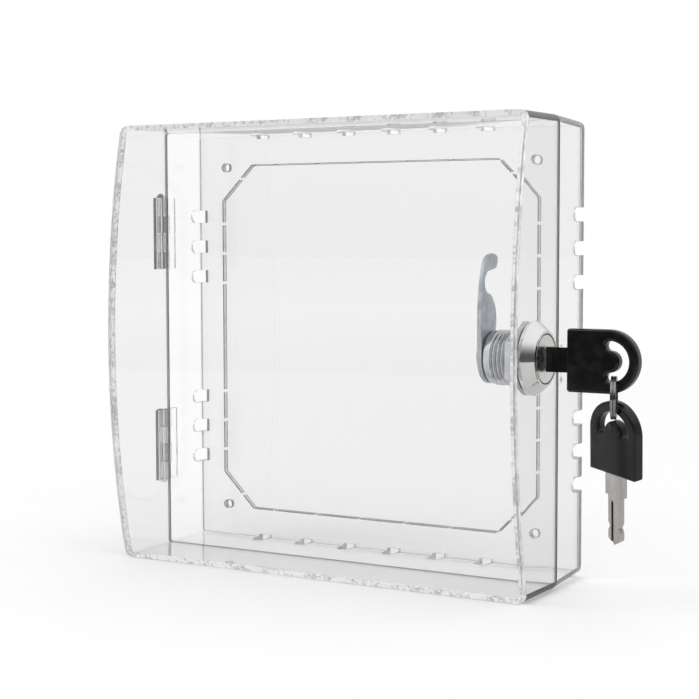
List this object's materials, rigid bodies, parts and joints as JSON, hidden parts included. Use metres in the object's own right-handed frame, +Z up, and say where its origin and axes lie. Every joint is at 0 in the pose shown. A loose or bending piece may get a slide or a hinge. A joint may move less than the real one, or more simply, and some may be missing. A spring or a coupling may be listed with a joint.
{
  "type": "thermostat lock box",
  "caption": "Clear acrylic wall guard with a hinged bowed cover, vent notches, a cam lock and keys, for locking over a thermostat.",
  "frame": {"origin": "centre of the four-hole screw pattern on the rear face that lies against the wall", "axes": "+X right across the front, +Y into the wall, +Z up"},
  "size_m": [0.2158, 0.0628, 0.168],
  "materials": {
    "clear_acrylic": "clear polished acrylic sheet",
    "clear_hinge_plastic": "clear moulded plastic",
    "steel_pin": "plain steel wire",
    "chrome_lock": "polished chrome plate",
    "plated_steel": "dull plated steel",
    "zinc_cam": "bluish zinc-plated steel sheet",
    "brass_wafers": "stamped brass",
    "spring_steel": "fine spring wire",
    "key_blade": "nickel-plated key blade",
    "black_key_plastic": "glossy black moulding",
    "ring_steel": "split ring wire"
  },
  "bodies": {
    "base": {"base_back_plate": "clear_acrylic", "base_frame": "clear_acrylic", "lock_keeper": "clear_acrylic", "upper_hinge_base_leaf": "clear_hinge_plastic", "lower_hinge_base_leaf": "clear_hinge_plastic", "upper_hinge_pin": "steel_pin", "lower_hinge_pin": "steel_pin"},
    "cover": {"cover_frame": "clear_acrylic", "cover_front_panel": "clear_acrylic", "upper_hinge_cover_leaf": "clear_hinge_plastic", "lower_hinge_cover_leaf": "clear_hinge_plastic", "lock_housing": "chrome_lock", "lock_washer": "plated_steel", "lock_nut": "plated_steel"},
    "lock_cylinder": {"lock_plug": "chrome_lock", "lock_wafers": "brass_wafers", "wafer_springs": "spring_steel", "lock_cam": "zinc_cam", "cam_washer": "plated_steel", "cam_screw": "plated_steel"},
    "key_1": {"key_1_blade": "key_blade", "key_1_head": "black_key_plastic"},
    "split_ring": {"key_ring": "ring_steel"},
    "key_2": {"key_2_blade": "key_blade", "key_2_head": "black_key_plastic"}
  },
  "joints": [
    {"name": "cover_hinge", "type": "hinge", "parent": "base", "child": "cover", "pos_m": [-0.085, -0.02525, 0], "axis": [0, 0, -1], "range_deg": [0, 135]},
    {"name": "lock_turn", "type": "hinge", "parent": "cover", "child": "lock_cylinder", "pos_m": [0.0883, -0.0473, 0], "axis": [-1, 0, 0], "range_deg": [0, 90]},
    {"name": "key_1_pull", "type": "slide", "parent": "lock_cylinder", "child": "key_1", "axis": [1, 0, 0], "range_m": [0, 0.026]},
    {"name": "ring_swing", "type": "hinge", "parent": "key_1", "child": "split_ring", "pos_m": [0.1179, -0.0473, -0.0051], "axis": [0, 1, 0], "range_deg": [-10, 10]},
    {"name": "key_2_swing", "type": "hinge", "parent": "split_ring", "child": "key_2", "pos_m": [0.1179, -0.0473, -0.0188], "axis": [-0.309, 0.9511, 0], "range_deg": [-10, 10]}
  ]
}
